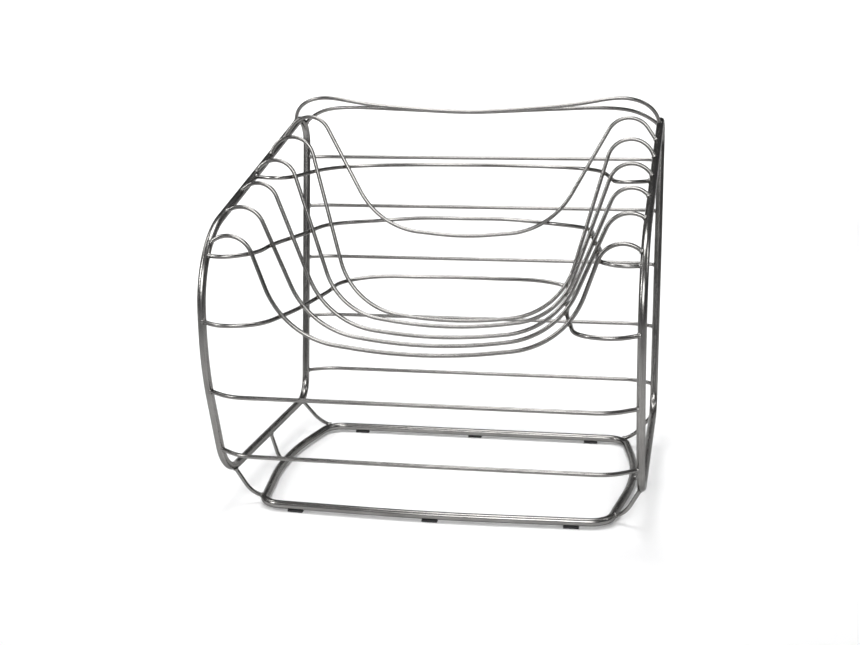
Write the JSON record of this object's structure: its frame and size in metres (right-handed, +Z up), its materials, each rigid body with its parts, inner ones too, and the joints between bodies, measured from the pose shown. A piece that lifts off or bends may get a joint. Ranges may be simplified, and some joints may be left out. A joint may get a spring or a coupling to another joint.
{
  "type": "wire lounge chair",
  "caption": "Armchair made of bent metal rods: a shell of U-shaped rods and hoops hung between two tube side frames on a tube base ring with rubber glides.",
  "frame": {"origin": "on the floor, under the middle of the chair's width and depth", "axes": "+Z up, -Y towards the front of the chair (the way a sitter faces), +X towards the sitter's left"},
  "size_m": [0.816, 0.766, 0.7717],
  "materials": {
    "stainless": "satin",
    "rubber": "matte"
  },
  "bodies": {
    "root": {"back_rail_1": "stainless", "back_rail_2": "stainless", "back_rail_3": "stainless", "back_rail_4": "stainless", "back_rail_5": "stainless", "back_rod": "stainless", "base_ring": "stainless", "front_rail_lower": "stainless", "front_rail_upper": "stainless", "glide_front_left": "rubber", "glide_front_middle": "rubber", "glide_front_right": "rubber", "glide_rear_left": "rubber", "glide_rear_middle": "rubber", "glide_rear_right": "rubber", "hoop_lower": "stainless", "hoop_middle": "stainless", "hoop_upper": "stainless", "seat_rod_1": "stainless", "seat_rod_2": "stainless", "seat_rod_3": "stainless", "seat_rod_4": "stainless", "seat_rod_5": "stainless", "side_frame_left": "stainless", "side_frame_right": "stainless", "strut_front_left": "stainless", "strut_front_right": "stainless", "strut_middle_left": "stainless", "strut_middle_right": "stainless", "strut_rear_left": "stainless", "strut_rear_right": "stainless", "top_brace": "stainless", "top_rail": "stainless"}
  },
  "joints": []
}
